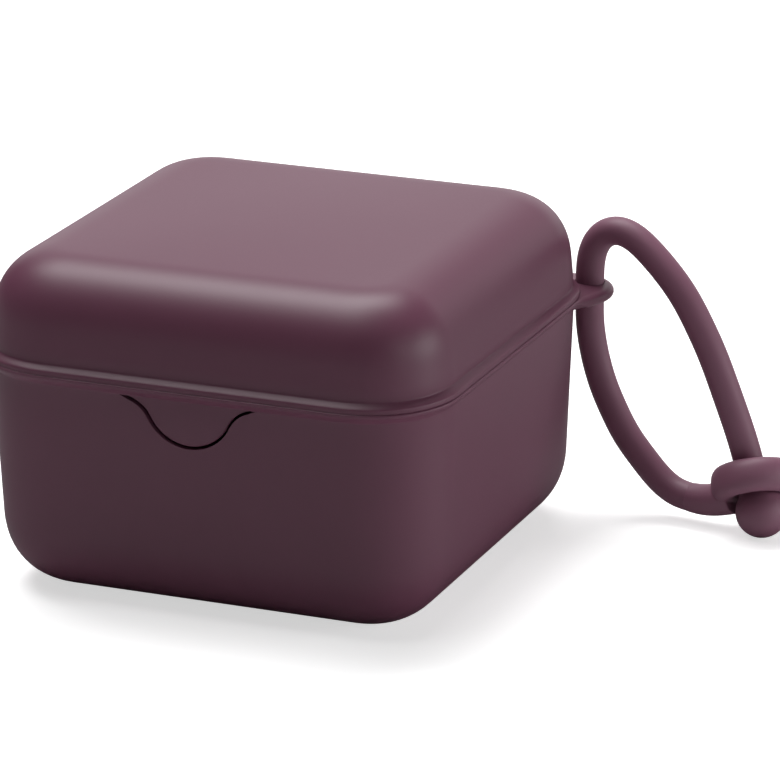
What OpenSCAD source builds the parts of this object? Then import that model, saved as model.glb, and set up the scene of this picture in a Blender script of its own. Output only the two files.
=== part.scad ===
// Pacifier sterilizer case: a rounded square tub with a hinged lid, a press-to-open
// tongue at the front, a perforated tray inside and a loop strap at the back corner.
// Millimetres. Origin at the middle of the underside, +Z up, the tongue faces -Y.

/* [Case] */
// Width and depth of the case across its walls at the parting line
case_w = 92; // [84:1:104]
// Height of the closed case
case_h = 65.5; // [62:0.5:76]
// Height of the parting line between tub and lid
parting_z = 46; // [44:0.5:50]
// Plan radius of the vertical corners at the parting line
corner_r = 16; // [15:0.5:20]
// Radius of the edge round the bottom of the tub
foot_r = 13; // [8:0.5:13]
// Radius of the edge round the top of the lid
crown_r = 11; // [6:0.5:12]
// Wall thickness of tub and lid
wall = 2; // [1.6:0.1:2.4]
// How far the tub wall leans in from the parting line to the floor
tub_draft = 2; // [1:0.2:2.6]
// How far the lid wall leans in from the parting line to the top
lid_draft = 1.6; // [0.8:0.2:2.4]

/* [Rim] */
// Height of the bead round the tub's rim
tub_bead_h = 2.4; // [1.8:0.1:2.4]
// How far the tub's bead stands out of the wall
tub_bead_out = 1.2; // [0.8:0.1:1.4]
// Height of the bead round the lid's rim
lid_bead_h = 1.7; // [1.4:0.1:2.2]
// How far the lid's bead stands out of the wall
lid_bead_out = 1.1; // [0.8:0.1:1.3]
// Gap between the two rims when the lid is shut
rim_gap = 0.1; // [0.1:0.05:0.3]
// Height of the tub's inner lip above the parting line
lip_h = 2; // [1:0.1:2.6]
// Thickness of the inner lip
lip_t = 1; // [0.8:0.1:1.2]
// Side clearance between the inner lip and the lid
lip_gap = 0.3; // [0.2:0.05:0.4]
// Depth of the lip's root below the parting line, whose underside is the catching ledge
ledge_h = 3; // [2.6:0.1:3.4]

/* [Hinge] */
// Length of the hinge along the back
hinge_w = 44; // [36:1:50]
// Length of each of the tub's two outer knuckles
ear_w = 10; // [7:0.5:12]
// Radius of the knuckles
knuckle_r = 2.2; // [2:0.1:2.4]
// Radius of the hinge pin
pin_r = 1.1; // [0.9:0.05:1.2]
// Radial clearance of the pin in the lid's knuckle
pin_gap = 0.08; // [0.04:0.01:0.1]
// Side clearance between knuckles
knuckle_gap = 0.3; // [0.2:0.05:0.5]
// Clearance between the knuckles and the rim beads
hinge_gap = 0.6; // [0.4:0.1:1]

/* [Latch] */
// Radius of the round lobe of the tongue
tongue_r = 8.8; // [8:0.2:10]
// Radius of the tongue's two flared shoulders
shoulder_r = 6.8; // [4:0.2:8]
// Thickness of the tongue
tongue_t = 1.4; // [1.2:0.1:1.6]
// Gap between the tongue and its window
tongue_gap = 0.3; // [0.25:0.05:0.4]
// Gap above the tongue, at its flexing root
root_gap = 0.15; // [0.1:0.05:0.2]
// Width of the hook that hangs from the lid behind the tongue
hook_w = 10; // [8:0.5:12]
// Thickness of the hook
hook_t = 1.3; // [1:0.1:1.5]
// Length of the hook below the parting line
hook_l = 9.5; // [8.5:0.25:10]
// Gap between the hook's shank and the ledge
shank_gap = 0.8; // [0.7:0.05:1]
// Depth by which the barb sits under its ledge
catch = 0.45; // [0.3:0.05:0.5]
// Gap above the barb, and between the tongue's pusher and the hook
catch_gap = 0.3; // [0.2:0.05:0.4]

/* [Tray] */
// Height of the tray's plate above the underside
tray_z = 13; // [11:0.5:16]
// Thickness of the tray's plate
tray_t = 1.8; // [1.4:0.1:2.2]
// Height of the tray's upstanding edge
tray_edge_h = 3; // [2:0.5:5]
// Side clearance between the tray and the tub
tray_gap = 0.6; // [0.4:0.1:1]
// Diameter of the steam holes
steam_d = 5; // [3:0.5:6]
// Spacing of the steam holes
steam_step = 9; // [8:0.5:12]
// Diameter of the finger hole in the middle
finger_d = 18; // [16:1:20]
// Width of the notches that let the tray pass the hook
notch_w = 16; // [14:0.5:18]

/* [Strap] */
// Diameter of the strap's cord
cord_d = 5.6; // [5:0.1:6]
// Radial clearance of the cord in the eyelet
cord_gap = 0.15; // [0.1:0.05:0.2]
// Radius of the lobe that carries the eyelet
lobe_r = 8.3; // [8.2:0.1:9]
// Thickness of the lobe
lobe_t = 2.4; // [2:0.1:2.8]
// Outer radius of the strap's eye
eye_r = 8.6; // [8.2:0.1:9]
// Radius of the eye's hole, which the ball can be pressed through
eye_hole_r = 4.3; // [4:0.1:4.4]
// Thickness of the strap's eye
eye_t = 6.6; // [5:0.1:7]
// Radius of the eye's rounded edges
eye_edge = 2.1; // [1:0.1:2.1]
// Radius of the ball at the end of the strap
ball_r = 5.1; // [4.8:0.1:5.2]

/* [Hidden] */
plum = [0.29, 0.19, 0.22];
plum_dark = [0.24, 0.15, 0.18];
fine = 96;
over = 1;                                   // overreach of cutting tools

half = case_w / 2;
axis_xy = half - corner_r;                  // plan place of each corner's axis
tub_lean = atan(tub_draft / parting_z);
lid_lean = atan(lid_draft / (case_h - parting_z));
lid_z = parting_z + rim_gap;                // underside of the lid's rim

// Radial place of each wall's outer face, counted from the corner axis
function tub_x(z) = corner_r - (parting_z - z) * tan(tub_lean);
function lid_x(z) = corner_r - (z - parting_z) * tan(lid_lean);

// Centres of the two edge rounds, each of which touches both its wall and its flat
foot_x = tub_x(foot_r) - foot_r / cos(tub_lean);
crown_z = case_h - crown_r;
crown_x = lid_x(crown_z) - crown_r / cos(lid_lean);

lip_x = corner_r - wall - lip_gap;          // outer face of the inner lip
lip_in = lip_x - lip_t;                     // inner face of the inner lip and of its root
hinge_y = half + max(tub_bead_out, lid_bead_out) + hinge_gap + knuckle_r;

// The tongue is drawn in the plane of the front wall, measured down from the parting line
lobe_depth = tub_bead_h;                    // depth of the tongue's lobe centre
shoulder_x = sqrt(pow(tongue_r + shoulder_r, 2) - pow(shoulder_r, 2));
pusher_h = 2;                               // height and width of the tongue's pusher
pusher_w = 6;
pusher_depth = hook_l - pusher_h / 2;       // depth of the pusher's middle, at the hook's end

hook_y = axis_xy + lip_in - shank_gap;      // outer face of the hook's shank
hook_top = parting_z + lip_h + 0.4;         // top of the hook, over the lip
hook_root_h = 2;
barb_h = 1.9;
barb_z = parting_z - ledge_h - catch_gap;   // top of the barb
hook_pass = hook_w / 2 + 2;                 // half width of the break in the lip

tray_x = tub_x(tray_z) - wall - tray_gap;   // radial place of the tray's edge
rest_x = tray_x - 4;                        // the ribs that carry the tray reach 4 mm under it
rest_w = 3;
rest_place = axis_xy * 0.7;
notch_d = 4;

eyelet_u = 20.8;                            // cord's place on the diagonal, from the corner axis
lobe_u = 16.8;                              // centre of the lobe's round outline on the diagonal
lobe_z = parting_z - 0.7;                   // top of the lobe
bore_r = cord_d / 2 + cord_gap;

// Route of the cord, from the eye round through the eyelet and down to the ball
ROUTE = [
    [76.6, 39.3, 6.9], [73.3, 39.8, 5.7], [70.6, 40.2, 5.1], [67.4, 40.8, 5], [64, 41.4, 5.6],
    [60.5, 42, 7.6], [57, 42.6, 10.9], [53.2, 43.2, 15.2], [50.3, 43.7, 19.8],
    [48, 44.1, 24.4], [46.3, 44.4, 29.2], [45.2, 44.6, 34], [44.7, 44.7, 38.6],
    [44.7, 44.7, 42.4], [44.7, 44.7, 46], [44.9, 44.7, 49.6], [46, 44.5, 53.2],
    [48.2, 44.1, 55.7], [51, 43.6, 56.6], [54.1, 43.1, 55.9], [57.6, 42.5, 53.6],
    [61.4, 41.8, 50.2], [65.1, 41.2, 46], [68.6, 40.6, 40.6], [71.6, 40.1, 35],
    [74.4, 39.9, 28.3], [77.1, 39.8, 21.3], [78.7, 39.9, 16.4], [80, 39.8, 12.1],
    [81.6, 39.1, 8.1]];
BALL = [82.9, 37.7];                        // plan place of the ball, which lies on the ground
EYE = [80.8, 39.8, 10.4];
eye_lean = 32.5;                            // the eye leans back, off the cord that it holds
eye_way = 121;                              // heading that it leans in
strap_turn = -9.8;                          // heading of the strap's plane
cord_sides = 12;

// ---- shapes that tub and lid share ----

// Carries a profile round the case: x is the distance from the corner axis
module around() {
    for (k = [0:3]) rotate(90 * k) translate([axis_xy, axis_xy, 0]) {
        rotate_extrude(angle = 90, $fn = fine) children();
        rotate([90, 0, 0]) linear_extrude(2 * axis_xy) children();
    }
}

// Side view of the solid tub, with its faces moved in by t
module tub_side(t) {
    intersection() {
        union() {
            translate([foot_x, foot_r]) circle(r = foot_r - t, $fn = fine);
            polygon([[0, t], [foot_x, t], [foot_x, foot_r],
                     [foot_x + (foot_r - t) * cos(tub_lean), foot_r - (foot_r - t) * sin(tub_lean)],
                     [tub_x(parting_z) - t / cos(tub_lean), parting_z], [0, parting_z]]);
        }
        square([2 * corner_r, parting_z]);
    }
}

// Side view of the solid lid, with its faces moved in by t
module lid_side(t) {
    intersection() {
        union() {
            translate([crown_x, crown_z]) circle(r = crown_r - t, $fn = fine);
            polygon([[0, case_h - t], [crown_x, case_h - t], [crown_x, crown_z],
                     [crown_x + (crown_r - t) * cos(lid_lean), crown_z + (crown_r - t) * sin(lid_lean)],
                     [lid_x(lid_z) - t / cos(lid_lean), lid_z], [0, lid_z]]);
        }
        translate([0, lid_z]) square([2 * corner_r, case_h]);
    }
}

// Rim bead with a half-round outer side, from height z up
module bead(z, h, out) {
    translate([corner_r - wall / 2, z]) square([wall / 2 + out - h / 2, h]);
    translate([corner_r + out - h / 2, z + h / 2]) circle(d = h, $fn = fine);
}

// Puts a drawing on the plane of the front wall, with its outside towards the viewer
module on_front() {
    translate([0, -half, parting_z]) rotate([90 + tub_lean, 0, 0]) children();
}

// Outline of the tongue with its gap g, up to a depth of top below the parting line
module tongue_outline(g, top) {
    part = tongue_r / (tongue_r + shoulder_r);
    intersection() {
        union() {
            translate([0, -lobe_depth]) circle(r = tongue_r + g, $fn = fine);
            difference() {
                polygon([[-shoulder_x, 0], [shoulder_x, 0], [shoulder_x, -lobe_depth],
                         [shoulder_x * part, -lobe_depth - shoulder_r * part],
                         [-shoulder_x * part, -lobe_depth - shoulder_r * part],
                         [-shoulder_x, -lobe_depth]]);
                for (s = [-1, 1]) translate([s * shoulder_x, -lobe_depth - shoulder_r])
                    circle(r = shoulder_r - g, $fn = fine);
            }
        }
        translate([-2 * tongue_r, -3 * tongue_r - top]) square([4 * tongue_r, 3 * tongue_r]);
    }
}

// ---- tub ----

module tub_wall() {
    around() {
        difference() {
            tub_side(0);
            tub_side(wall);
        }
        bead(parting_z - tub_bead_h, tub_bead_h, tub_bead_out);
        polygon([[corner_r - wall / 2, parting_z - ledge_h], [lip_in, parting_z - ledge_h],
                 [lip_in, parting_z + lip_h], [lip_x, parting_z + lip_h],
                 [lip_x, parting_z], [corner_r - wall / 2, parting_z]]);
    }
    translate([-axis_xy, -axis_xy, 0]) cube([2 * axis_xy, 2 * axis_xy, wall]);
}

// Round lobe at the back corner, with the bore that the cord passes through
module eyelet_lobe() {
    translate([axis_xy, axis_xy, lobe_z - lobe_t]) rotate(45) linear_extrude(lobe_t) difference() {
        translate([lobe_u, 0]) circle(r = lobe_r, $fn = fine);
        circle(r = corner_r - wall / 2, $fn = fine);
        translate([eyelet_u, 0]) circle(r = bore_r, $fn = fine);
    }
}

// A hinge knuckle of length w, bored with radius b, on an arm between heights z0 and z1
module knuckle(w, b, z0, z1) {
    difference() {
        union() {
            translate([0, hinge_y, parting_z]) rotate([0, 90, 0])
                cylinder(r = knuckle_r, h = w, center = true, $fn = fine);
            translate([-w / 2, half - wall / 2, z0])
                cube([w, hinge_y - half + wall / 2, z1 - z0]);
        }
        translate([0, hinge_y, parting_z]) rotate([0, 90, 0])
            cylinder(r = b, h = w + 2 * over, center = true, $fn = fine);
    }
}

// Ribs on the walls, on which the tray rests
module tray_rests() {
    for (k = [0:3], s = [-1, 1]) rotate(90 * k)
        translate([axis_xy, s * rest_place + rest_w / 2, 0]) rotate([90, 0, 0])
            linear_extrude(rest_w) intersection() {
                tub_side(wall / 2);
                translate([rest_x, 0]) square([corner_r, tray_z]);
            }
}

module base_shell() {
    color(plum) difference() {
        union() {
            tub_wall();
            eyelet_lobe();
            tray_rests();
            for (s = [-1, 1]) translate([s * (hinge_w - ear_w) / 2, 0, 0])
                knuckle(ear_w, pin_r, parting_z - knuckle_r, parting_z);
        }
        // window of the tongue, and the break in the lip that the barb passes
        on_front() translate([0, 0, -wall - 0.05]) linear_extrude(wall + over)
            tongue_outline(tongue_gap, tub_bead_h);
        translate([-hook_pass, -half + wall, parting_z - 0.6])
            cube([2 * hook_pass, 2 * lip_t, lip_h + over]);
    }
}

// ---- lid ----

module lid_shell() {
    color(plum) {
        around() {
            difference() {
                lid_side(0);
                lid_side(wall);
            }
            bead(lid_z, lid_bead_h, lid_bead_out);
        }
        translate([-axis_xy, -axis_xy, case_h - wall]) cube([2 * axis_xy, 2 * axis_xy, wall]);
        knuckle(hinge_w - 2 * (ear_w + knuckle_gap), pin_r + pin_gap, lid_z, parting_z + knuckle_r);
        // root from which the hook hangs
        translate([-hook_w / 2, -half + wall / 2, hook_top + root_gap])
            cube([hook_w, half - wall / 2 - hook_y + hook_t, hook_root_h]);
    }
}

module hinge_pin() {
    color(plum_dark) translate([0, hinge_y, parting_z]) rotate([0, 90, 0])
        cylinder(r = pin_r, h = hinge_w, center = true, $fn = fine);
}

// ---- latch ----

module release_tongue() {
    color(plum) on_front() {
        translate([0, 0, -tongue_t]) linear_extrude(tongue_t)
            tongue_outline(0, tub_bead_h + root_gap);
        // pusher behind the tongue, which bears on the hook
        translate([-pusher_w / 2, -pusher_depth - pusher_h / 2, -(half - hook_y) + catch_gap + 0.4])
            cube([pusher_w, pusher_h, half - hook_y - catch_gap - 0.4 - tongue_t / 2]);
    }
}

module latch_hook() {
    color(plum) {
        translate([-hook_w / 2, -hook_y, parting_z - hook_l])
            cube([hook_w, hook_t, hook_top - parting_z + hook_l]);
        translate([hook_w / 2, -hook_y + hook_t / 2, barb_z]) rotate([90, 0, -90])
            linear_extrude(hook_w)
                polygon([[0, 0], [hook_t / 2 + shank_gap + catch, 0],
                         [hook_t / 2 + shank_gap + catch, -0.5], [hook_t / 2, -barb_h], [0, -barb_h]]);
    }
}

// ---- tray ----

// Square with round corners about the corner axes
module rounded(r) {
    square([2 * axis_xy, 2 * (axis_xy + r)], center = true);
    square([2 * (axis_xy + r), 2 * axis_xy], center = true);
    for (x = [-1, 1], y = [-1, 1]) translate([x * axis_xy, y * axis_xy]) circle(r = r, $fn = fine);
}

// True where a steam hole has room beside the finger hole, the edge and the notches
function steam_room(x, y) =
    norm([x, y]) > finger_d / 2 + steam_d / 2 + 1.5
    && norm([max(abs(x) - axis_xy, 0), max(abs(y) - axis_xy, 0)]) < tray_x - steam_d / 2 - 2.5
    && !(abs(x) < notch_w / 2 + steam_d / 2 + 1.5 && abs(y) > axis_xy + tray_x - notch_d - steam_d / 2 - 1.5);

module steam_tray() {
    rows = floor((axis_xy + tray_x) / steam_step);
    color(plum_dark) translate([0, 0, tray_z]) difference() {
        union() {
            linear_extrude(tray_t) difference() {
                rounded(tray_x);
                circle(d = finger_d, $fn = fine);
                for (i = [-rows:rows], j = [-rows:rows])
                    if (steam_room(i * steam_step, j * steam_step))
                        translate([i, j] * steam_step) circle(d = steam_d, $fn = 32);
            }
            linear_extrude(tray_edge_h) difference() {
                rounded(tray_x);
                rounded(tray_x - 1.5);
            }
        }
        for (s = [-1, 1]) translate([-notch_w / 2, s * (axis_xy + tray_x) - notch_d, -over])
            cube([notch_w, 2 * notch_d, tray_edge_h + 2 * over]);
    }
}

// ---- strap ----

function unit(v) = v / norm(v);
function heading(p, i) = unit(p[min(i + 1, len(p) - 1)] - p[max(i - 1, 0)]);
// The strap stays in one upright plane, so its normal serves every ring of the sweep
side_way = [sin(-strap_turn), cos(-strap_turn), 0];
function ring(p, i, r) = [for (k = [0:cord_sides - 1])
    let (a = 360 * k / cord_sides, u = unit(cross(side_way, heading(p, i))))
    p[i] + r * (cos(a) * side_way + sin(a) * u)];

module strap_cord() {
    n = len(ROUTE);
    m = cord_sides;
    r = cord_d / 2;
    color(plum) polyhedron(
        points = [for (i = [0:n - 1]) each ring(ROUTE, i, r)],
        faces = [
            [for (k = [0:m - 1]) k],
            for (i = [0:n - 2], k = [0:m - 1])
                [i * m + k, (i + 1) * m + k, (i + 1) * m + (k + 1) % m, i * m + (k + 1) % m],
            [for (k = [m - 1:-1:0]) (n - 1) * m + k]]);
}

module strap_eye() {
    color(plum) translate(EYE) rotate([0, 0, eye_way]) rotate([0, eye_lean, 0])
        rotate_extrude($fn = fine) {
            mid = eye_t / 2 - eye_edge;
            for (x = [eye_hole_r + eye_edge, eye_r - eye_edge], z = [-mid, mid]) translate([x, z])
                circle(r = eye_edge, $fn = fine);
            translate([eye_hole_r, -mid]) square([eye_r - eye_hole_r, 2 * mid]);
            translate([eye_hole_r + eye_edge, -eye_t / 2])
                square([eye_r - eye_hole_r - 2 * eye_edge, eye_t]);
        }
}

module strap_ball() {
    color(plum) translate([BALL.x, BALL.y, ball_r]) sphere(r = ball_r, $fn = fine);
}

base_shell();
lid_shell();
hinge_pin();
release_tongue();
latch_hook();
steam_tray();
strap_cord();
strap_eye();
strap_ball();
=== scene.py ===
import math

import bmesh
import bpy
import numpy as np
from mathutils import Matrix, Vector


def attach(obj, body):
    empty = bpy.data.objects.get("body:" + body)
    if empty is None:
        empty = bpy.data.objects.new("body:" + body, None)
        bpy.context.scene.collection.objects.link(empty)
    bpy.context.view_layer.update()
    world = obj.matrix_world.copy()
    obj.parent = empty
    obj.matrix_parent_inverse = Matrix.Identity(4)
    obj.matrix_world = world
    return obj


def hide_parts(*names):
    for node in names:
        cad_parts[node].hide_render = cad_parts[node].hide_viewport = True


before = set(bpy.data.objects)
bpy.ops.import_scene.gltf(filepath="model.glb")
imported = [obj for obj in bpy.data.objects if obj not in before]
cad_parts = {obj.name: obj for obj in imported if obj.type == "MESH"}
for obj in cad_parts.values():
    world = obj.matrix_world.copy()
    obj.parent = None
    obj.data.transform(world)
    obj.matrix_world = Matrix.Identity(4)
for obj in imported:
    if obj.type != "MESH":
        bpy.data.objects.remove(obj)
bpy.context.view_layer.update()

MM = 0.001

# ---------------------------------------------------------------------------
# The view: the case is seen from the front and a little from the right, by a
# camera about a metre away that looks down by less than twenty degrees.
# ---------------------------------------------------------------------------
view_azimuth = math.radians(22.645)
view_elevation = math.radians(18.695)
view_roll = math.radians(-0.43)
view_distance = 0.96208
view_target = Vector((0.02099, 0.0, 0.03409))
focal_pixels = 5079.0
frame_height = 781
film_width = 36.0

towards = Vector((math.sin(view_azimuth) * math.cos(view_elevation),
                  -math.cos(view_azimuth) * math.cos(view_elevation),
                  math.sin(view_elevation)))
level_right = Vector((math.cos(view_azimuth), math.sin(view_azimuth), 0.0))
level_up = towards.cross(level_right)
view_right = math.cos(view_roll) * level_right + math.sin(view_roll) * level_up
view_up = math.cos(view_roll) * level_up - math.sin(view_roll) * level_right
camera = bpy.data.objects.new("camera", bpy.data.cameras.new("camera"))
camera.data.sensor_width = film_width
camera.data.lens = focal_pixels * film_width / frame_height
camera.data.clip_start = 0.05
camera.data.clip_end = 20.0
turn = Matrix((view_right, view_up, towards)).transposed().to_4x4()
camera.matrix_world = Matrix.Translation(view_target + view_distance * towards) @ turn
bpy.context.scene.collection.objects.link(camera)
bpy.context.scene.camera = camera


# ---------------------------------------------------------------------------
# The strap's cord: soft silicone, one moulding with the eye and the ball at
# its ends. It runs up from its eye through the case's eyelet, over, and down
# through its own eye, where the ball stops it on the ground.
# ---------------------------------------------------------------------------
cord_radius = 2.8 * MM
cord_route = np.array([
    [76.6, 39.3, 6.9], [73.3, 39.8, 5.7], [70.6, 40.2, 5.1], [67.4, 40.8, 5], [64, 41.4, 5.6],
    [60.5, 42, 7.6], [57, 42.6, 10.9], [53.2, 43.2, 15.2], [50.3, 43.7, 19.8],
    [48, 44.1, 24.4], [46.3, 44.4, 29.2], [45.2, 44.6, 34], [44.7, 44.7, 38.6],
    [44.7, 44.7, 42.4], [44.7, 44.7, 46], [44.9, 44.7, 49.6], [46, 44.5, 53.2],
    [48.2, 44.1, 55.7], [51, 43.6, 56.6], [54.1, 43.1, 55.9], [57.6, 42.5, 53.6],
    [61.4, 41.8, 50.2], [65.1, 41.2, 46], [68.6, 40.6, 40.6], [71.6, 40.1, 35],
    [74.4, 39.9, 28.3], [77.1, 39.8, 21.3], [78.7, 39.9, 16.4], [80, 39.8, 12.1],
    [81.6, 39.1, 8.1]]) * MM
cord_steps, cord_swell = 260, 0.06
strap_heading = math.radians(-9.8)
strap_side = np.array([-math.sin(strap_heading), math.cos(strap_heading), 0.0])


def smooth_path(points, count):
    """A natural cubic spline through the points, with the distance between
    them as its parameter, read off at count equal steps along its length."""
    chord = np.concatenate([[0], np.cumsum(np.linalg.norm(np.diff(points, axis=0), axis=1))])
    h = np.diff(chord)
    n = len(points)
    rows = np.eye(n)
    right = np.zeros((n, 3))
    inner = np.arange(1, n - 1)
    rows[inner, inner - 1] = h[:-1]
    rows[inner, inner] = 2 * (h[:-1] + h[1:])
    rows[inner, inner + 1] = h[1:]
    slope = np.diff(points, axis=0) / h[:, None]
    right[1:-1] = 6 * (slope[1:] - slope[:-1])
    bend = np.linalg.solve(rows, right)

    def at(s):
        k = np.clip(np.searchsorted(chord, s, side="right") - 1, 0, n - 2)
        a = ((chord[k + 1] - s) / h[k])[:, None]
        b = 1 - a
        return (a * points[k] + b * points[k + 1]
                + ((a**3 - a) * bend[k] + (b**3 - b) * bend[k + 1]) * (h[k]**2)[:, None] / 6)

    steps = np.linspace(0, chord[-1], 40 * n)
    length = np.concatenate([[0], np.cumsum(np.linalg.norm(np.diff(at(steps), axis=0), axis=1))])
    return at(np.interp(np.linspace(0, length[-1], count), length, steps))


def grid_mesh(name, grid, start=None, end=None):
    """A closed skin from a grid of points, rows by columns, with a quad between
    every four neighbours. The columns close on themselves. So do the rows,
    unless a start and an end point close the first and the last one with a fan."""
    rows, columns = grid.shape[:2]
    index = np.arange(rows * columns).reshape(rows, columns)
    down = index if start is not None else np.concatenate([index, index[:1]])
    across = np.concatenate([down, down[:, :1]], axis=1)
    quads = np.stack([across[:-1, :-1], across[:-1, 1:], across[1:, 1:], across[1:, :-1]], -1)
    faces = quads.reshape(-1, 4).tolist()
    points = [grid.reshape(-1, 3)]
    if start is not None:
        points += [np.reshape(start, (1, 3)), np.reshape(end, (1, 3))]
        pole = rows * columns
        faces += [[pole, b, a] for a, b in zip(across[0, :-1], across[0, 1:])]
        faces += [[pole + 1, a, b] for a, b in zip(across[-1, :-1], across[-1, 1:])]
    mesh = bpy.data.meshes.new(name)
    mesh.from_pydata(np.concatenate(points), [], faces)
    piece = bpy.data.objects.new(name, mesh)
    bpy.context.scene.collection.objects.link(piece)
    return close(piece)


def close(piece, sharp=60):
    """Merges doubled points, turns the faces outwards, and leaves sharp only the
    edges that turn by more than that many degrees."""
    work = bmesh.new()
    work.from_mesh(piece.data)
    bmesh.ops.remove_doubles(work, verts=work.verts, dist=1e-7)
    bmesh.ops.recalc_face_normals(work, faces=work.faces)
    work.to_mesh(piece.data)
    work.free()
    piece.data.shade_smooth()
    piece.data.set_sharp_from_angle(angle=math.radians(sharp))
    return piece


def tube(name, path, radii, side, around=40):
    """A circle carried along a path in the plane whose normal is side: each
    point is path + radius * (cos(t) * side + sin(t) * across)."""
    along = np.gradient(path, axis=0)
    along /= np.linalg.norm(along, axis=1)[:, None]
    across = np.cross(side, along)
    t = np.linspace(0, 2 * np.pi, around, endpoint=False)[None, :, None]
    ring = np.cos(t) * side + np.sin(t) * across[:, None, :]
    grid = path[:, None, :] + np.broadcast_to(radii, len(path))[:, None, None] * ring
    return grid_mesh(name, grid, start=path[0], end=path[-1])


# The cord thickens a little over its last part, towards the ball
cord_path = smooth_path(cord_route, cord_steps)
swell = cord_swell * np.clip(np.linspace(-1.4, 1, cord_steps), 0, 1)
cord = tube("cord", cord_path, cord_radius * (1 + swell), strap_side)


# ---------------------------------------------------------------------------
# The strap's eye and ball: the cord's own silicone, moulded with it. The eye is
# a thick ring with a full round edge that swells out of the cord's first end;
# the ball grows out of its other end over a short neck.
# ---------------------------------------------------------------------------
eye_place = Vector((80.8, 39.8, 10.4)) * MM
eye_way, eye_lean = math.radians(121), math.radians(32.5)
eye_outer, eye_hole, eye_height = 8.6 * MM, 3.6 * MM, 6.6 * MM
ball_place = Vector((82.9, 37.7, 5.1)) * MM
ball_radius = 5.1 * MM
skin_voxel, skin_passes = 0.2 * MM, 8


def superellipse(wide, high, power, t):
    """Points of |x / wide|^power + |y / high|^power = 1 at the polar angles t."""
    c, s = np.cos(t), np.sin(t)
    reach = (np.abs(c)**power + np.abs(s)**power) ** (-1 / power)
    return wide * reach * c, high * reach * s


def turned(name, radii, heights, around=96):
    """A profile carried round the Z axis: each of its points (radius, height)
    becomes the ring (radius * cos, radius * sin, height)."""
    t = np.linspace(0, 2 * np.pi, around, endpoint=False)
    grid = np.stack([radii[:, None] * np.cos(t), radii[:, None] * np.sin(t),
                     np.repeat(heights[:, None], around, 1)], -1)
    return grid_mesh(name, grid)


def apply_modifiers(piece):
    """Replaces the piece's mesh by what its modifiers make of it."""
    graph = bpy.context.evaluated_depsgraph_get()
    made = bpy.data.meshes.new_from_object(piece.evaluated_get(graph))
    piece.modifiers.clear()
    piece.data = made
    return piece


def join(pieces):
    """Puts the meshes of several pieces into the first one."""
    work = bmesh.new()
    for piece in pieces:
        work.from_mesh(piece.data)
    work.to_mesh(pieces[0].data)
    work.free()
    for piece in pieces[1:]:
        bpy.data.objects.remove(piece)
    return pieces[0]


def melt(piece, voxel, passes):
    """Runs overlapping solids into one skin and rounds the creases between them."""
    remesh = piece.modifiers.new("skin", "REMESH")
    remesh.mode = "VOXEL"
    remesh.voxel_size = voxel
    smooth = piece.modifiers.new("round", "SMOOTH")
    smooth.factor = 0.5
    smooth.iterations = passes
    return close(apply_modifiers(piece), 180)


round_trip = np.linspace(0, 2 * np.pi, 40, endpoint=False)
ring_r, ring_z = superellipse((eye_outer - eye_hole) / 2, eye_height / 2, 2.3, round_trip)
eye = turned("eye", ring_r + (eye_outer + eye_hole) / 2, ring_z)
eye.data.transform(Matrix.Translation(eye_place) @ Matrix.Rotation(eye_way, 4, "Z")
                   @ Matrix.Rotation(eye_lean, 4, "Y"))
collar = tube("collar", cord_path[:20], np.linspace(1.25, 1.02, 20) * cord_radius, strap_side)
eye = melt(join([eye, collar]), skin_voxel, skin_passes)

half_turn = np.linspace(0, np.pi, 48)
ball = turned("ball", ball_radius * np.sin(half_turn), ball_radius * np.cos(half_turn))
ball.data.transform(Matrix.Translation(ball_place))
neck = tube("neck", cord_path[-16:], np.linspace(1.0, 1.35, 16) * cord_radius, strap_side)
ball = melt(join([ball, neck]), skin_voxel, skin_passes)

for piece, node in ((cord, "strap_cord"), (eye, "strap_eye"), (ball, "strap_ball")):
    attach(piece, "strap")
    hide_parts(node)


# ---------------------------------------------------------------------------
# The tub: an injection moulding in matte plum polypropylene with a 2 mm wall,
# softly squared corners, a bead that swells out under its rim, and a lip inside it
# that the lid closes over. Its front wall has the tongue's slot cut through.
# ---------------------------------------------------------------------------
case_half = 46.0 * MM
case_height = 65.5 * MM
parting_z = 46.0 * MM
plan_corner = 17.7 * MM
corner_power = 2.25
foot_edge = 14.4 * MM
wall = 2.0 * MM
tub_draft = 2.0 * MM
tub_bead_out, tub_bead_z, tub_nick = 1.25 * MM, 43.3 * MM, 0.35 * MM
rim_out, rim_z = 0.2 * MM, 45.6 * MM
lip_outer, lip_inner = 2.3 * MM, 3.3 * MM
lip_top, ledge_z = 48.0 * MM, 43.0 * MM
side_steps, corner_steps = 14, 40

corner_axis = case_half - plan_corner
quarter_turn = np.linspace(0, np.pi / 2, corner_steps)


def outline(inward, corners=quarter_turn):
    """The case's plan outline moved in by that far: four superellipse corners
    about fixed axes, and straight sides between them."""
    x, y = superellipse(plan_corner - inward, plan_corner - inward, corner_power, corners)
    x, y = x + corner_axis, y + corner_axis
    side = np.linspace(1, -1, side_steps, endpoint=False)[1:]
    x = np.concatenate([x, side * corner_axis])
    y = np.concatenate([y, np.full(side_steps - 1, y[-1])])
    quarter = x + 1j * y
    loop = np.concatenate([quarter, quarter * 1j, -quarter, quarter * -1j])
    return loop.real, loop.imag


def ring(inward, z):
    """One ring of a shell: the outline moved in, at the height z."""
    x, y = outline(inward)
    return np.stack([x, y, np.broadcast_to(z, x.shape)], -1)


def flat(inward, z, bulge=0.0, count=12):
    """Rings that shrink a flat face to its middle: the outline times s at the
    height z + bulge * (1 - s^2)."""
    x, y = outline(inward)
    s = np.linspace(1, 0, count, endpoint=False)[1:, None]
    return np.stack([x * s, y * s, np.broadcast_to(z + bulge * (1 - s**2), (count - 1, len(x)))], -1)


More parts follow.
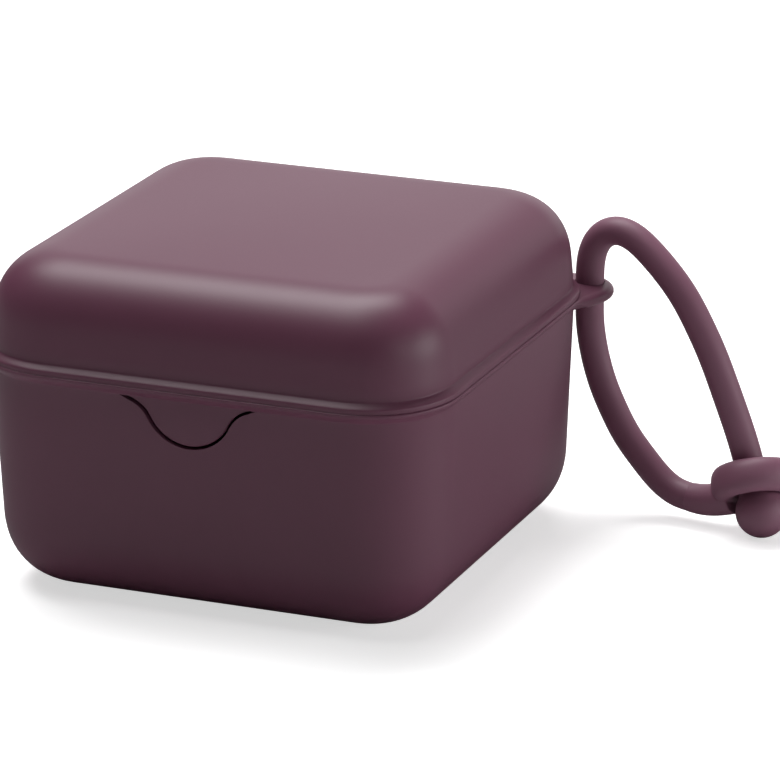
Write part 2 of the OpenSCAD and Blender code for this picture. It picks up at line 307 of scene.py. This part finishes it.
def edge_round(radius, count=22):
    """Height and inset of a superellipse edge, from the flat to the wall."""
    t = np.linspace(0, np.pi / 2, count)
    inset, height = superellipse(radius, radius, corner_power, t)
    return radius - height[::-1], radius - inset[::-1]


def tub_wall(z):
    return tub_draft * (parting_z - z) / parting_z


# The eyelet's outline: the rim runs out into a round lobe at the back corner
lobe_centre = 41.88 * MM
lobe_edge = 1.2 * MM
lobe_r = 8.3 * MM - lobe_edge
lobe_z = 44.1 * MM
lobe_start = 1.5 * MM
lobe_turn = math.radians(15)
bore_place, bore_r = 44.7 * MM, 2.95 * MM


def hermite(a, b, slope_a, slope_b, count):
    """A cubic between the points a and b with those slopes at its ends."""
    t = np.linspace(0, 1, count, endpoint=False)[:, None]
    return ((2 * t**3 - 3 * t**2 + 1) * a + (t**3 - 2 * t**2 + t) * slope_a
            + (3 * t**2 - 2 * t**3) * b + (t**3 - t**2) * slope_b)


def lobe_line(count):
    """The lobe's shoulder line from one side of the corner to the other, at even
    steps: a cubic that leaves the side, the round end, and the cubic's mirror."""
    first = np.array([case_half + rim_out, corner_axis + lobe_start])
    last = lobe_centre + lobe_r * np.array([math.cos(-lobe_turn), math.sin(-lobe_turn)])
    run = hermite(first, last, np.array([0, 12 * MM]),
                  5 * MM * np.array([math.sin(lobe_turn), math.cos(lobe_turn)]), 40)
    t = np.linspace(-lobe_turn, math.pi / 2 + lobe_turn, 60)[:, None]
    end = lobe_centre + lobe_r * np.concatenate([np.cos(t), np.sin(t)], 1)
    corner = np.array([[case_half + rim_out, corner_axis]])
    line = np.concatenate([corner, run, end, run[::-1, ::-1], corner[:, ::-1]])
    length = np.concatenate([[0], np.cumsum(np.linalg.norm(np.diff(line, axis=0), axis=1))])
    even = np.linspace(0, length[-1], count)
    return np.stack([np.interp(even, length, line[:, 0]), np.interp(even, length, line[:, 1])], -1)


def ease(t):
    """A smooth step from 0 to 1 as t goes from 0 to 1."""
    t = np.clip(t, 0, 1)
    return t * t * (3 - 2 * t)


def rim_rings():
    """The tub's rim, from the wall under the bead to its flat top. Along the
    sides it is a bead that eases out of the wall to a narrow round edge. Round
    the back corner it turns into the eyelet's plate, with a full round edge on a
    line of its own, in proportion to how far that line lies outside the bead."""
    under, edge, over = 10, 17, 7
    climb = np.linspace(0, 1, under, endpoint=False)
    quarter = np.linspace(0, np.pi / 2, edge)
    bead_out = np.concatenate([
        tub_bead_out * ease(climb) - (1 - ease(climb)) * tub_wall(tub_bead_z),
        tub_bead_out - tub_nick * (1 - np.cos(quarter)),
        np.linspace(tub_bead_out - tub_nick, rim_out, over)])
    bead_z = np.concatenate([
        tub_bead_z + (rim_z - tub_nick - tub_bead_z) * climb,
        rim_z - tub_nick * (1 - np.sin(quarter)),
        np.full(over, rim_z)])
    line = np.stack(outline(-rim_out), -1)
    rim = line.copy()
    line[:corner_steps] = lobe_line(corner_steps)
    share = ease(np.linalg.norm(line - rim, axis=1) / (3 * MM))[:, None]
    along = np.roll(line, -1, 0) - np.roll(line, 1, 0)
    normal = np.stack([along[:, 1], -along[:, 0]], -1) / np.linalg.norm(along, axis=1)[:, None]
    foot = np.stack(outline(tub_wall(tub_bead_z)), -1)
    rings = []
    for k, (out, z) in enumerate(zip(bead_out, bead_z)):
        if k < under:
            place, level = foot + (line - foot) * climb[k], lobe_z - lobe_edge
        elif k < under + edge:
            t = np.linspace(-np.pi / 2, np.pi / 2, edge)[k - under]
            place = line + lobe_edge * math.cos(t) * normal
            level = lobe_z + lobe_edge * math.sin(t)
        else:
            s = (k - under - edge) / (over - 1)
            place = line + (rim - line) * s
            level = lobe_z + lobe_edge + (rim_z - lobe_z - lobe_edge) * ease(s)
        bead = np.stack(outline(-out), -1)
        flat_place = bead + (place - bead) * share
        rings.append(np.concatenate([flat_place, z + (level - z) * share], 1))
    return np.array(rings)


def tub_rings():
    """The tub's whole skin from the middle of its underside, up the outside,
    over the rim and the lip, and down the inside to the middle of its floor."""
    foot_z, foot_in = edge_round(foot_edge)
    rings = list(flat(foot_edge + tub_wall(0), 0.0)[::-1])
    rings += [ring(i + tub_wall(z), z) for z, i in zip(foot_z, foot_in)]
    rim = rim_rings()
    top_of_foot = rings[-1]
    rings += [top_of_foot + (rim[0] - top_of_foot) * s for s in np.linspace(0, 1, 9)[1:-1]]
    rings += list(rim)
    nick = 0.2 * MM
    for inward, z in ((lip_outer, parting_z), (lip_outer, lip_top - nick),
                      (lip_outer + nick, lip_top), (lip_inner - nick, lip_top),
                      (lip_inner, lip_top - nick), (lip_inner, ledge_z + nick),
                      (lip_inner - nick, ledge_z), (wall + tub_wall(ledge_z), ledge_z)):
        rings.append(ring(inward, z))
    inner_z, inner_in = edge_round(foot_edge - wall)
    rings += [ring(wall + i + tub_wall(z + wall), z + wall)
              for z, i in zip(inner_z[::-1], inner_in[::-1])]
    rings += list(flat(foot_edge + tub_wall(wall), wall))
    return np.array(rings)


tub = grid_mesh("tub", tub_rings(), start=(0, 0, 0), end=(0, 0, wall))


def slab(name, corners, middle, low, high, nick):
    """A plate with rounded edges: the closed outline is carried up from low to
    high, drawn in by the nick at both ends along a quarter circle, and closed by
    a fan round the middle point. The nick is one for all or one per corner."""
    along = np.roll(corners, -1, 0) - np.roll(corners, 1, 0)
    normal = np.stack([along[:, 1], -along[:, 0]], -1) / np.linalg.norm(along, axis=1)[:, None]
    t = np.linspace(0, np.pi / 2, 5)[:, None, None]
    nick = np.broadcast_to(nick, (len(corners),))[:, None]
    inset, lift = nick * (1 - np.sin(t)), nick * (1 - np.cos(t))
    grid = np.concatenate([
        corners - np.concatenate([inset, inset[::-1]]) * normal,
        np.concatenate([low + lift, high - lift[::-1]])], -1)
    return grid_mesh(name, grid, start=(*middle, low), end=(*middle, high))


def combine(piece, operation, tools):
    """Cuts the tools out of the piece, or welds them on, and drops them."""
    for tool in tools:
        step = piece.modifiers.new("step", "BOOLEAN")
        step.operation = operation
        step.solver = "EXACT"
        step.object = tool
        apply_modifiers(piece)
        bpy.data.objects.remove(tool)
    return close(piece, 50)


def block(x, y):
    """A rectangle between two x and two y, counter-clockwise, with its sides split."""
    t = np.linspace(0, 1, 6, endpoint=False)[:, None]
    corner = np.array([(x[0], y[0]), (x[1], y[0]), (x[1], y[1]), (x[0], y[1])])
    return np.concatenate([a + (b - a) * t for a, b in zip(corner, np.roll(corner, -1, 0))])


def circle(x, y, radius, start=0.0, end=2 * math.pi, count=64):
    """An arc about (x, y), counter-clockwise, without its last point."""
    t = np.linspace(start, end, count, endpoint=False)
    return np.stack([x + radius * np.cos(t), y + radius * np.sin(t)], -1)


# The tongue's outline: a round lobe that flares out into two shoulders
tongue_r, shoulder_r = 8.7 * MM, 6.9 * MM
tongue_depth = 2.4 * MM
tongue_root = 2.55 * MM
slot_gap = 0.5 * MM
tongue_set, tongue_lean = 0.15 * MM, math.radians(-2)
shoulder_x = math.sqrt((tongue_r + shoulder_r)**2 - shoulder_r**2)
tub_lean = math.atan(tub_draft / parting_z)
on_front = (Matrix.Translation((0, -case_half, parting_z))
            @ Matrix.Rotation(math.pi / 2 + tub_lean, 4, "X"))


def bell(gap, top):
    """The tongue's outline with that gap round it, below the line y = -top: the
    arc of the lobe between the arcs of the two shoulders, over which the gap
    runs out to nothing."""
    meet = math.asin(shoulder_r / (tongue_r + shoulder_r))
    last = math.acos(min(1, (tongue_depth + shoulder_r - top) / shoulder_r))
    t = np.linspace(np.pi - meet, np.pi / 2 + last, 24)
    small = shoulder_r - gap * ease(3 * (t - np.pi / 2) / (np.pi / 2 - meet) + 0.1)
    right = np.stack([shoulder_x + small * np.cos(t),
                      -tongue_depth - shoulder_r + small * np.sin(t)], -1)
    lobe = circle(0, -tongue_depth, tongue_r + gap, -math.pi + meet, -meet, 50)
    return np.concatenate([lobe, right, right[::-1] * [-1, 1]])


window = slab("window", bell(slot_gap, tongue_depth), (0, -tongue_depth - 0.1 * MM),
              -2.1 * MM, 1 * MM, 0)
window.data.transform(on_front)
lip_break = slab("lip break", block((-7 * MM, 7 * MM), (-44 * MM, -42 * MM)), (0, -43 * MM),
                 45.4 * MM, 49 * MM, 0)
bore = slab("bore", circle(bore_place, bore_place, bore_r), (bore_place, bore_place),
            40 * MM, 48 * MM, 0)
combine(tub, "DIFFERENCE", [window, lip_break, bore])

# Knuckles and ribs are drawn in an upright plane and run along its normal
along_x = Matrix(((0, 0, 1, 0), (1, 0, 0, 0), (0, 1, 0, 0), (0, 0, 0, 1)))
hinge_y, knuckle_r, pin_r = 50.0 * MM, 2.2 * MM, 1.1 * MM
hinge_half, ear_w = 22.0 * MM, 10.0 * MM


def knuckle(name, low, high, upper):
    """A hinge knuckle between two x: a round boss on an arm that runs back from
    the wall, above the pin for the lid and below it for the tub, with its bore."""
    turn = 1 if upper else -1
    arc = circle(hinge_y, 0, knuckle_r, -math.pi / 2, math.pi, 48)
    arm = np.array([(45.2 * MM, 0.1 * MM), (45.2 * MM, -knuckle_r)])
    corners = np.concatenate([arc, arm]) * [1, -turn] + [0, parting_z]
    corners = corners[::-turn]
    boss = slab(name, corners, (hinge_y - 2 * MM, parting_z + turn * MM), low, high, 0.3 * MM)
    hole = slab("hole", circle(hinge_y, parting_z, pin_r + 0.08 * MM), (hinge_y, parting_z),
                low - MM, high + MM, 0)
    combine(boss, "DIFFERENCE", [hole])
    boss.data.transform(along_x)
    return boss


ears = [knuckle("ear", -hinge_half, -hinge_half + ear_w, False),
        knuckle("ear", hinge_half - ear_w, hinge_half, False)]

# Eight ribs carry the tray; each runs 1 mm into the wall and the floor
rib_in, rib_top, rib_half, rib_place = 38.0 * MM, 13.0 * MM, 1.5 * MM, 21.0 * MM
rib_sink = 1 * MM
rib_z, rib_r = edge_round(foot_edge - rib_sink)
rib_z = rib_z + rib_sink
rib_out = case_half - rib_sink - rib_r - tub_wall(rib_z)
rib_foot = np.stack([rib_out, rib_z], -1)
rib_foot = rib_foot[(rib_out > rib_in) & (rib_z < rib_top)]
rib_line = np.concatenate([rib_foot, [[rib_foot[-1, 0], rib_top], [rib_in, rib_top],
                                      [rib_in, rib_foot[0, 1]]]])
ribs = []
for quarter in range(4):
    for side in (-1, 1):
        rib = slab("rib", rib_line, (40 * MM, 9 * MM), side * rib_place - rib_half,
                   side * rib_place + rib_half, 0)
        rib.data.transform(Matrix.Rotation(quarter * math.pi / 2, 4, "Z") @ along_x)
        ribs.append(rib)
combine(tub, "UNION", ears + ribs)


def shader(material, group):
    """The Principled shader of a material whose grain, tint and roughness come
    from a node group."""
    nodes, links = material.node_tree.nodes, material.node_tree.links
    surface = nodes["Principled BSDF"]
    grain = nodes.new("ShaderNodeGroup")
    grain.node_tree = group
    links.new(grain.outputs["Colour"], surface.inputs["Base Color"])
    links.new(grain.outputs["Roughness"], surface.inputs["Roughness"])
    links.new(grain.outputs["Normal"], surface.inputs["Normal"])
    return surface, grain


def moulded_group():
    """Fine matt grain of a moulded surface: tints the colour a little with a
    broad noise, and roughens and bumps it with a fine one."""
    group = bpy.data.node_groups.new("moulded", "ShaderNodeTree")
    face = group.interface
    for name, kind, value in (("Colour", "NodeSocketColor", (0.5, 0.5, 0.5, 1)),
                              ("Roughness", "NodeSocketFloat", 0.5),
                              ("Grain size", "NodeSocketFloat", 0.0003),
                              ("Grain depth", "NodeSocketFloat", 0.00001)):
        face.new_socket(name, in_out="INPUT", socket_type=kind).default_value = value
    for name, kind in (("Colour", "NodeSocketColor"), ("Roughness", "NodeSocketFloat"),
                       ("Normal", "NodeSocketVector")):
        face.new_socket(name, in_out="OUTPUT", socket_type=kind)
    nodes, links = group.nodes, group.links
    given, out = nodes.new("NodeGroupInput"), nodes.new("NodeGroupOutput")
    place = nodes.new("ShaderNodeTexCoord")
    broad, fine = nodes.new("ShaderNodeTexNoise"), nodes.new("ShaderNodeTexNoise")
    broad.inputs["Scale"].default_value = 45
    broad.inputs["Detail"].default_value = 3
    fine.inputs["Detail"].default_value = 2
    per_size = nodes.new("ShaderNodeMath")
    per_size.operation = "DIVIDE"
    per_size.inputs[0].default_value = 1
    links.new(given.outputs["Grain size"], per_size.inputs[1])
    links.new(per_size.outputs[0], fine.inputs["Scale"])
    for noise in (broad, fine):
        links.new(place.outputs["Object"], noise.inputs["Vector"])
    tint = nodes.new("ShaderNodeMapRange")
    tint.inputs["To Min"].default_value = 0.96
    tint.inputs["To Max"].default_value = 1.04
    links.new(broad.outputs["Fac"], tint.inputs["Value"])
    shade = nodes.new("ShaderNodeVectorMath")
    shade.operation = "SCALE"
    links.new(given.outputs["Colour"], shade.inputs[0])
    links.new(tint.outputs["Result"], shade.inputs["Scale"])
    links.new(shade.outputs["Vector"], out.inputs["Colour"])
    rough = nodes.new("ShaderNodeMath")
    rough.operation = "MULTIPLY_ADD"
    rough.inputs[1].default_value = 0.06
    links.new(fine.outputs["Fac"], rough.inputs[0])
    links.new(given.outputs["Roughness"], rough.inputs[2])
    links.new(rough.outputs[0], out.inputs["Roughness"])
    bump = nodes.new("ShaderNodeBump")
    bump.inputs["Strength"].default_value = 1.0
    links.new(fine.outputs["Fac"], bump.inputs["Height"])
    links.new(given.outputs["Grain depth"], bump.inputs["Distance"])
    links.new(bump.outputs["Normal"], out.inputs["Normal"])
    return group


moulded = moulded_group()


def moulding(name, colour, roughness, size, depth):
    """A moulded plastic or rubber: its own colour and roughness on the grain."""
    material = bpy.data.materials.new(name)
    material.use_nodes = True
    surface, grain = shader(material, moulded)
    grain.inputs["Colour"].default_value = (*colour, 1)
    grain.inputs["Roughness"].default_value = roughness
    grain.inputs["Grain size"].default_value = size
    grain.inputs["Grain depth"].default_value = depth
    surface.inputs["IOR"].default_value = 1.49
    return material


plum = moulding("plum polypropylene", (0.15, 0.05, 0.087), 0.42, 0.0003, 0.000008)
silicone = moulding("plum silicone", (0.235, 0.1, 0.152), 0.5, 0.0004, 0.000006)
for piece in (cord, eye, ball):
    piece.data.materials.append(silicone)
tub.data.materials.append(plum)
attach(tub, "case")
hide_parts("base_shell")


# ---------------------------------------------------------------------------
# The release tongue: a thin flap of the tub's own front wall, moulded with it
# and free on all sides but the top, where it bends. A pusher behind it bears on
# the lid's hook.
# ---------------------------------------------------------------------------
flap = bell(0, tongue_root)
tongue = slab("tongue", flap, (0, -tongue_root - 0.1 * MM), -1.4 * MM, 0,
              0.4 * MM * ease((-flap[:, 1] - tongue_root) / (3 * MM)))
pusher = slab("pusher", block((-3 * MM, 3 * MM), (-9.5 * MM, -7.5 * MM)), (0, -8.5 * MM),
              -3.2 * MM, -0.7 * MM, 0.2 * MM)
combine(tongue, "UNION", [pusher])
tongue.data.transform(on_front @ Matrix.Translation((0, -tongue_depth - tongue_r, -tongue_set))
                      @ Matrix.Rotation(tongue_lean, 4, "X")
                      @ Matrix.Translation((0, tongue_depth + tongue_r, 0)))
tongue.data.materials.append(plum)
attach(tongue, "tongue")
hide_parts("release_tongue")


# ---------------------------------------------------------------------------
# The lid: the tub's plastic, colour and wall, a shallow dome with soft edges
# and the same bead round its rim. One knuckle at the back turns on the hinge
# pin, and a block inside the front carries the hook.
# ---------------------------------------------------------------------------
lid_draft = 1.6 * MM
crown_edge = 12.15 * MM
crown_rise = 0.6 * MM
lid_z, lid_bead_out, lid_nick = 45.62 * MM, 1.0 * MM, 0.1 * MM
lid_bead_z, lid_bead_low = 47.6 * MM, 46.35 * MM
lid_waist, waist_height = 0.2 * MM, 2.4 * MM


def lid_wall(z):
    return lid_draft * (z - parting_z) / (case_height - parting_z)


def domed(rings, reach):
    """Lifts the top by rise * f(x) * f(y), where f(u) = 1 - (u / reach)^2 out to
    the reach and runs on below zero with the same slope beyond it."""
    def f(u):
        past = np.maximum(np.abs(u) - reach, 0)
        return np.where(past > 0, -2 * past / reach / (1 + past / (1 * MM)), 1 - (u / reach)**2)
    lifted = rings.copy()
    lifted[..., 2] += crown_rise * f(rings[..., 0]) * f(rings[..., 1])
    return lifted


def lid_side(inward, sign):
    """The rings of one side of the lid's skin, moved in by that far, from the
    middle of the top to the rim or, for the inside, back again."""
    top = case_height - inward
    drop, inset = edge_round(crown_edge - inward)
    flat_in = inward + inset[0] + lid_wall(case_height)
    rings = list(flat(flat_in, top)[::-1])
    rings += [ring(inward + i + lid_wall(top - d), top - d) for d, i in zip(drop, inset)]
    rings = list(domed(np.array(rings), case_half - flat_in))
    foot = lid_bead_z + waist_height if inward == 0 else lid_z
    last, low = rings[-1], ring(inward + lid_wall(foot), foot)
    rings += [last + (low - last) * s for s in np.linspace(0, 1, 7)[1:]]
    return rings[::sign]


# The wall draws in to a shallow waist just above the bead, then swells out
lid_rings = lid_side(0.0, 1)
lid_rings += [ring(lid_wall(z) + lid_waist * (1 - (z - lid_bead_z) / waist_height)**2, z)
              for z in lid_bead_z + np.linspace(2.2, 0.2, 9) * MM]
ease_z = np.linspace(lid_bead_z, lid_bead_low, 15)
ease_in = ease((lid_bead_z - ease_z) / (lid_bead_z - lid_bead_low))
lid_rings += [ring((lid_wall(z) + lid_waist) * (1 - i) - lid_bead_out * i, z)
              for z, i in zip(ease_z, ease_in)]
lid_rings += [ring(-lid_bead_out + lid_nick * (1 - math.cos(t)),
                   lid_z + lid_nick * (1 - math.sin(t))) for t in np.linspace(0, math.pi / 2, 5)]
lid_rings += [ring(i, lid_z) for i in (-0.3 * MM, 0.5 * MM, 1.2 * MM)]
lid_rings += lid_side(wall, -1)
lid = grid_mesh("lid", np.array(lid_rings), start=(0, 0, case_height + crown_rise),
                end=(0, 0, case_height - wall + crown_rise))
middle_half = hinge_half - ear_w - 0.3 * MM
hook_root = slab("hook root", block((-5 * MM, 5 * MM), (-45 * MM, -40.6 * MM)), (0, -43 * MM),
                 48.55 * MM, 50.55 * MM, 0.2 * MM)
combine(lid, "UNION", [knuckle("knuckle", -middle_half, middle_half, True), hook_root])
lid.data.materials.append(plum)
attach(lid, "lid")
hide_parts("lid_shell")


# ---------------------------------------------------------------------------
# Inside the case: the hook is moulded with the lid, the pin is a drawn plastic
# rod, and the tray is a lighter moulding that lies loose on the tub's ribs.
# ---------------------------------------------------------------------------
drawn_plastic = moulding("pin plastic", (0.04, 0.02, 0.027), 0.3, 0.0002, 0.000003)
tray_plastic = moulding("tray plastic", (0.27, 0.17, 0.205), 0.45, 0.0003, 0.000008)
for node, material in (("latch_hook", plum), ("hinge_pin", drawn_plastic),
                       ("steam_tray", tray_plastic)):
    slots = bpy.data.objects[node].data.materials
    for i in range(len(slots)):
        slots[i] = material


# ---------------------------------------------------------------------------
# The floor, the light and the background: a white table under two broad soft
# lamps overhead, with weaker ones to the right and a bright wall behind.
# ---------------------------------------------------------------------------
def lamp(name, place, aim, width, height, power):
    """A soft rectangular lamp at a place, aimed at a point."""
    light = bpy.data.lights.new(name, "AREA")
    light.shape = "RECTANGLE"
    light.size, light.size_y = width, height
    light.energy = power
    holder = bpy.data.objects.new(name, light)
    holder.location = place
    holder.rotation_euler = (Vector(aim) - Vector(place)).to_track_quat("-Z", "Y").to_euler()
    bpy.context.scene.collection.objects.link(holder)


lamp("overhead", (-0.25, 0.32, 1.05), (0, 0, 0.05), 1.0, 0.5, 10.6)
lamp("top", (-0.25, 0.0, 1.1), (0, 0, 0.05), 1.0, 0.5, 4.2)
lamp("right", (1.2, 0.3, 0.16), (0, 0, 0.03), 0.8, 0.5, 5.6)
lamp("right front", (1.1, -0.5, 0.35), (0.06, 0.03, 0.03), 0.5, 0.5, 1.2)
lamp("backdrop", (-0.3, 1.6, 0.4), (0, 0, 0.1), 2.4, 0.8, 7.2)

floor_mesh = bpy.data.meshes.new("floor")
floor_mesh.from_pydata([(-4, -4, 0), (4, -4, 0), (4, 4, 0), (-4, 4, 0)], [], [(0, 1, 2, 3)])
floor = bpy.data.objects.new("floor", floor_mesh)
bpy.context.scene.collection.objects.link(floor)
table = bpy.data.materials.new("white table")
table.use_nodes = True
paper = table.node_tree.nodes["Principled BSDF"]
paper.inputs["Roughness"].default_value = 0.9
paper.inputs["Emission Color"].default_value = (1, 1, 1, 1)
seen = table.node_tree.nodes.new("ShaderNodeLightPath")
bright = table.node_tree.nodes.new("ShaderNodeMapRange")
bright.inputs["To Min"].default_value = 0.8
bright.inputs["To Max"].default_value = 0.9
table.node_tree.links.new(seen.outputs["Is Camera Ray"], bright.inputs["Value"])
dull = table.node_tree.nodes.new("ShaderNodeMath")
dull.operation = "MULTIPLY_ADD"
dull.inputs[1].default_value = -0.5
table.node_tree.links.new(seen.outputs["Is Glossy Ray"], dull.inputs[0])
table.node_tree.links.new(bright.outputs["Result"], dull.inputs[2])
table.node_tree.links.new(dull.outputs[0], paper.inputs["Base Color"])
glow = table.node_tree.nodes.new("ShaderNodeMath")
glow.operation = "MULTIPLY"
glow.inputs[1].default_value = 0.6
table.node_tree.links.new(seen.outputs["Is Camera Ray"], glow.inputs[0])
table.node_tree.links.new(glow.outputs[0], paper.inputs["Emission Strength"])
floor_mesh.materials.append(table)

world = bpy.data.worlds.new("world")
world.use_nodes = True
sky = world.node_tree.nodes["Background"]
way = world.node_tree.nodes.new("ShaderNodeLightPath")
level = world.node_tree.nodes.new("ShaderNodeMapRange")
level.inputs["To Min"].default_value = 0.0
level.inputs["To Max"].default_value = 1.0
world.node_tree.links.new(way.outputs["Is Camera Ray"], level.inputs["Value"])
world.node_tree.links.new(level.outputs["Result"], sky.inputs["Strength"])
sky.inputs["Color"].default_value = (1, 1, 1, 1)
bpy.context.scene.world = world
bpy.context.scene.view_settings.view_transform = "Standard"
